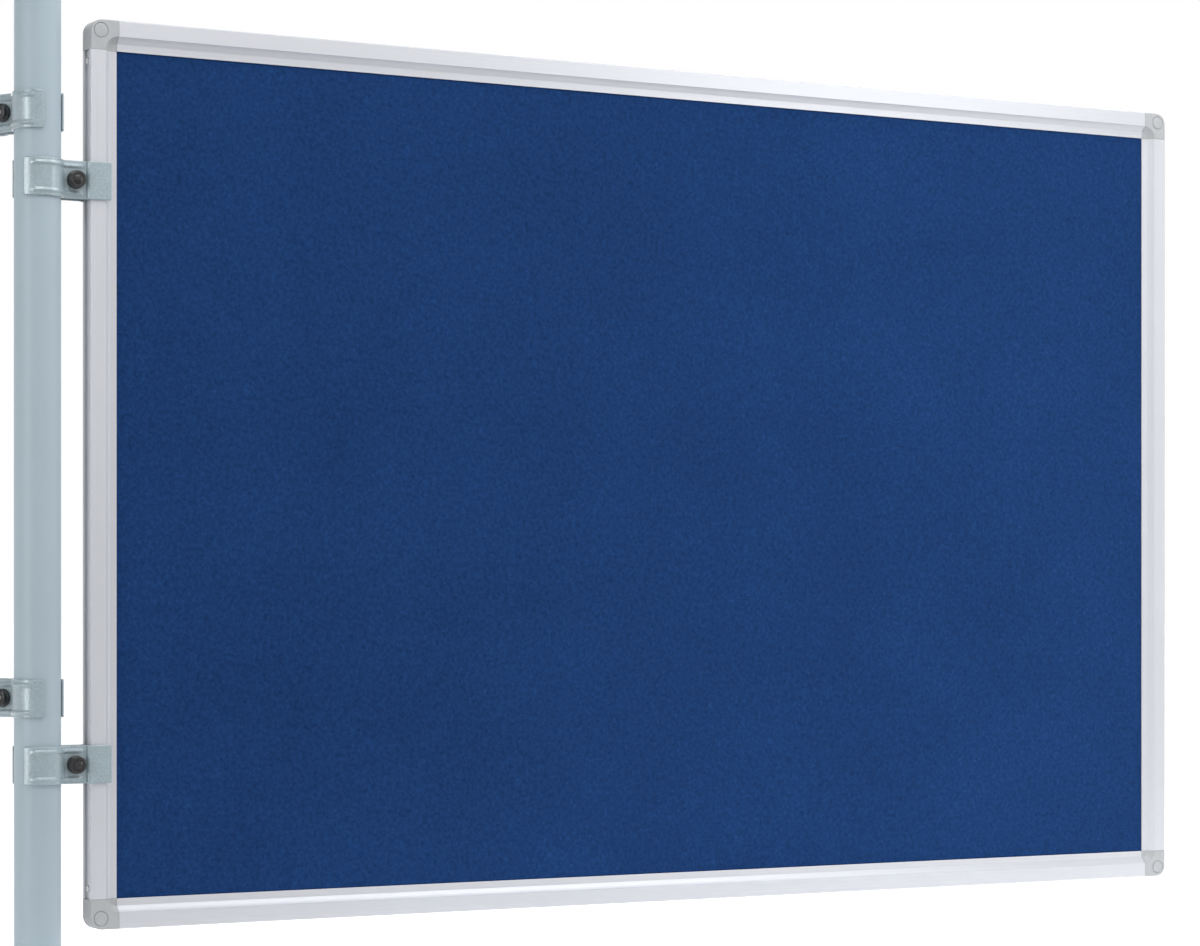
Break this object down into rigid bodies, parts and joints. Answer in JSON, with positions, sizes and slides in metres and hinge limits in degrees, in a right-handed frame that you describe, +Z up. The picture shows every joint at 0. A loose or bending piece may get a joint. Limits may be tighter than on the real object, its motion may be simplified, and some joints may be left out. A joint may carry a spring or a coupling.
{
  "type": "presentation board",
  "caption": "Framed felt pinboard clamped to the side of a round post by screw clamps, with spare clamps for a neighbouring board.",
  "frame": {"origin": "centre of the post's lower end", "axes": "+X from the post along the board, +Y from the board's front face to its back, +Z up along the post"},
  "size_m": [1.6094, 0.1074, 1.1113],
  "materials": {
    "post_paint": "satin blue-grey powder coat on a steel tube",
    "clamp_paint": "fine hammered blue-grey paint on pressed steel",
    "black_plastic": "satin black moulded plastic",
    "zinc_steel": "bright zinc plate",
    "anodised_aluminium": "satin silver anodised extrusion",
    "corner_plastic": "satin light grey moulded plastic",
    "blue_felt": "needled felt, mid blue",
    "fibreboard": "raw softboard"
  },
  "bodies": {
    "post": {"post_tube": "post_paint", "post_top_cap": "black_plastic", "post_foot_plug": "black_plastic"},
    "board_clamps": {"upper_right_back_jaw": "clamp_paint", "upper_right_nut": "zinc_steel", "lower_right_back_jaw": "clamp_paint", "lower_right_nut": "zinc_steel"},
    "board": {"frame_bottom": "anodised_aluminium", "frame_right": "anodised_aluminium", "frame_top": "anodised_aluminium", "frame_left": "anodised_aluminium", "bottom_left_corner": "corner_plastic", "bottom_right_corner": "corner_plastic", "top_right_corner": "corner_plastic", "top_left_corner": "corner_plastic", "bottom_left_cap_front": "corner_plastic", "bottom_left_cap_back": "corner_plastic", "bottom_right_cap_front": "corner_plastic", "bottom_right_cap_back": "corner_plastic", "top_right_cap_front": "corner_plastic", "top_right_cap_back": "corner_plastic", "top_left_cap_front": "corner_plastic", "top_left_cap_back": "corner_plastic", "bottom_left_screw_bottom": "zinc_steel", "bottom_left_screw_left": "zinc_steel", "bottom_right_screw_right": "zinc_steel", "bottom_right_screw_bottom": "zinc_steel", "top_right_screw_top": "zinc_steel", "top_right_screw_right": "zinc_steel", "top_left_screw_left": "zinc_steel", "top_left_screw_top": "zinc_steel", "core_panel": "fibreboard", "felt_front": "blue_felt", "felt_back": "blue_felt"},
    "upper_right_front_jaw": {"upper_right_front_jaw": "clamp_paint"},
    "upper_right_screw": {"upper_right_knob": "black_plastic", "upper_right_stud": "zinc_steel"},
    "lower_right_front_jaw": {"lower_right_front_jaw": "clamp_paint"},
    "lower_right_screw": {"lower_right_knob": "black_plastic", "lower_right_stud": "zinc_steel"},
    "upper_left_clamp": {"upper_left_back_jaw": "clamp_paint", "upper_left_nut": "zinc_steel"},
    "upper_left_front_jaw": {"upper_left_front_jaw": "clamp_paint"},
    "upper_left_screw": {"upper_left_knob": "black_plastic", "upper_left_stud": "zinc_steel"},
    "lower_left_clamp": {"lower_left_back_jaw": "clamp_paint", "lower_left_nut": "zinc_steel"},
    "lower_left_front_jaw": {"lower_left_front_jaw": "clamp_paint"},
    "lower_left_screw": {"lower_left_knob": "black_plastic", "lower_left_stud": "zinc_steel"}
  },
  "joints": [
    {"name": "board_swivel", "type": "hinge", "parent": "post", "child": "board_clamps", "pos_m": [0, 0, 0], "axis": [0, 0, 1], "range_deg": [-100, 35]},
    {"name": "board_slide", "type": "slide", "parent": "board_clamps", "child": "board", "axis": [1, 0, 0], "range_m": [0, 0.02]},
    {"name": "upper_right_jaw_slide", "type": "slide", "parent": "board_clamps", "child": "upper_right_front_jaw", "axis": [0, -1, 0], "range_m": [0, 0.003]},
    {"name": "upper_right_screw_turn", "type": "hinge", "parent": "upper_right_front_jaw", "child": "upper_right_screw", "pos_m": [0.03986, -0.0106, 0.892], "axis": [0, -1, 0], "range_deg": [0, 864]},
    {"name": "lower_right_jaw_slide", "type": "slide", "parent": "board_clamps", "child": "lower_right_front_jaw", "axis": [0, -1, 0], "range_m": [0, 0.003]},
    {"name": "lower_right_screw_turn", "type": "hinge", "parent": "lower_right_front_jaw", "child": "lower_right_screw", "pos_m": [0.03986, -0.0106, 0.252], "axis": [0, -1, 0], "range_deg": [0, 864]},
    {"name": "upper_left_swivel", "type": "hinge", "parent": "post", "child": "upper_left_clamp", "pos_m": [0, 0, 0.965], "axis": [0, 0, 1], "range_deg": [-44, 96]},
    {"name": "upper_left_jaw_slide", "type": "slide", "parent": "upper_left_clamp", "child": "upper_left_front_jaw", "axis": [-0.8746, -0.4848, 0], "range_m": [0, 0.003]},
    {"name": "upper_left_screw_turn", "type": "hinge", "parent": "upper_left_front_jaw", "child": "upper_left_screw", "pos_m": [-0.02859, 0.02972, 0.965], "axis": [-0.8746, -0.4848, 0], "range_deg": [0, 864]},
    {"name": "lower_left_swivel", "type": "hinge", "parent": "post", "child": "lower_left_clamp", "pos_m": [0, 0, 0.325], "axis": [0, 0, 1], "range_deg": [-44, 96]},
    {"name": "lower_left_jaw_slide", "type": "slide", "parent": "lower_left_clamp", "child": "lower_left_front_jaw", "axis": [-0.8746, -0.4848, 0], "range_m": [0, 0.003]},
    {"name": "lower_left_screw_turn", "type": "hinge", "parent": "lower_left_front_jaw", "child": "lower_left_screw", "pos_m": [-0.02859, 0.02972, 0.325], "axis": [-0.8746, -0.4848, 0], "range_deg": [0, 864]}
  ],
  "couplings": [
    {"joint": "upper_right_screw_turn", "follows": "upper_right_jaw_slide", "rad_per_m": 5026.5},
    {"joint": "lower_right_screw_turn", "follows": "lower_right_jaw_slide", "rad_per_m": 5026.5},
    {"joint": "upper_left_screw_turn", "follows": "upper_left_jaw_slide", "rad_per_m": 5026.5},
    {"joint": "lower_left_screw_turn", "follows": "lower_left_jaw_slide", "rad_per_m": 5026.5}
  ]
}
